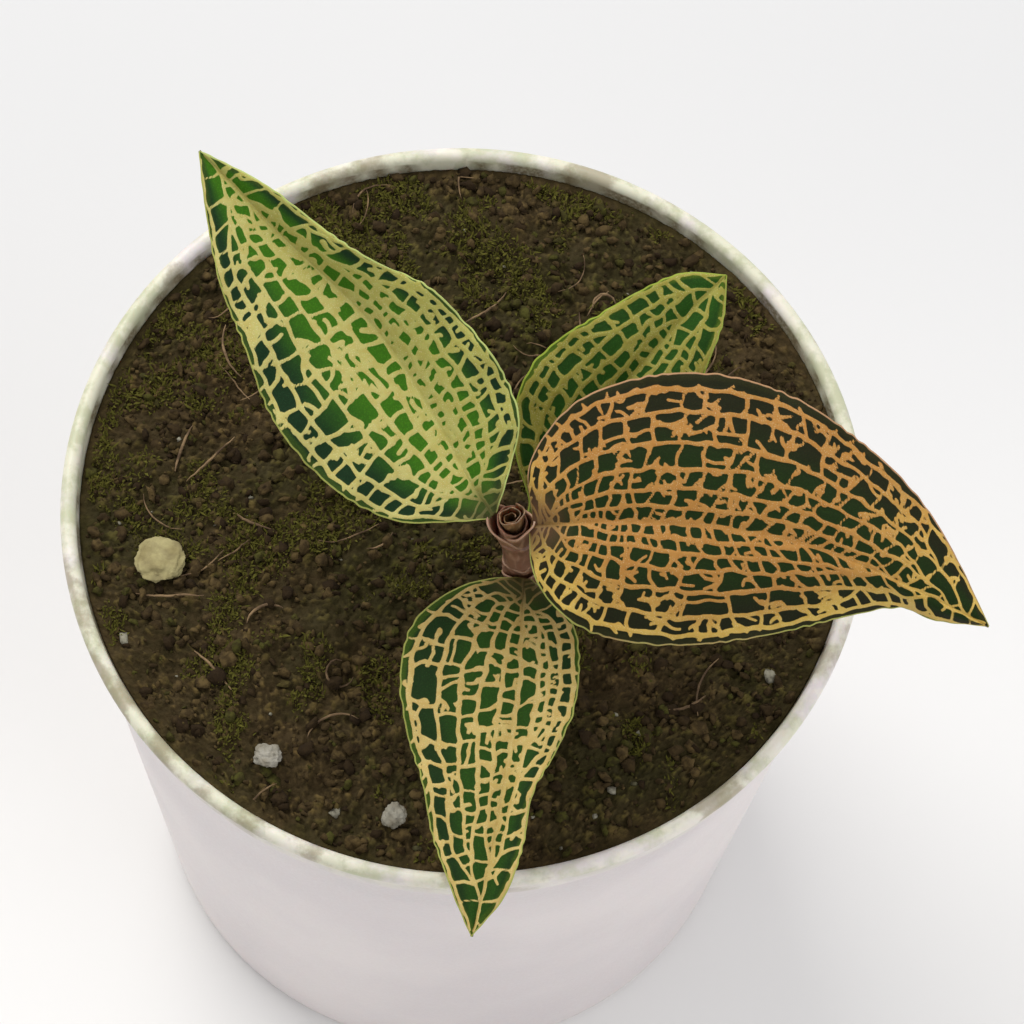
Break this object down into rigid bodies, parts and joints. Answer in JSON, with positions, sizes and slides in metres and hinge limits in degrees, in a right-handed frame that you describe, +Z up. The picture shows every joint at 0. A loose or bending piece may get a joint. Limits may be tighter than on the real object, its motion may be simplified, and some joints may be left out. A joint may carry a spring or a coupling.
{
  "type": "potted jewel orchid",
  "caption": "Young jewel orchid with netted, bronze-green leaves on a short stem, growing in dark moist mix in a round white nursery pot.",
  "frame": {"origin": "centre of the pot's underside, on the surface that it stands on", "axes": "+Z up along the pot's axis, +X towards the right-hand leaf, -Y towards the viewer and the front leaf"},
  "size_m": [0.1013, 0.0986, 0.1299],
  "materials": {
    "pot_plastic": "satin white moulded plastic with faint green and brown stains",
    "mix": "moist crumbled bark, peat and grit",
    "stem_flesh": "smooth, fleshy, pinkish brown",
    "leaf_green": "velvety green with a pale gold net of veins",
    "leaf_bronze": "velvety bronze green with a copper net of veins",
    "leaf_young": "smooth young leaf, still rolled",
    "chip": "dry pale chip, rough",
    "perlite": "white puffed grain, rough"
  },
  "bodies": {
    "root": {"pot": "pot_plastic", "substrate": "mix", "stem": "stem_flesh", "rolled_leaf": "leaf_young", "leaf_left": "leaf_green", "leaf_right": "leaf_bronze", "leaf_front": "leaf_green", "leaf_back": "leaf_green", "pale_chip": "chip", "perlite_1": "perlite", "perlite_2": "perlite"}
  },
  "joints": []
}
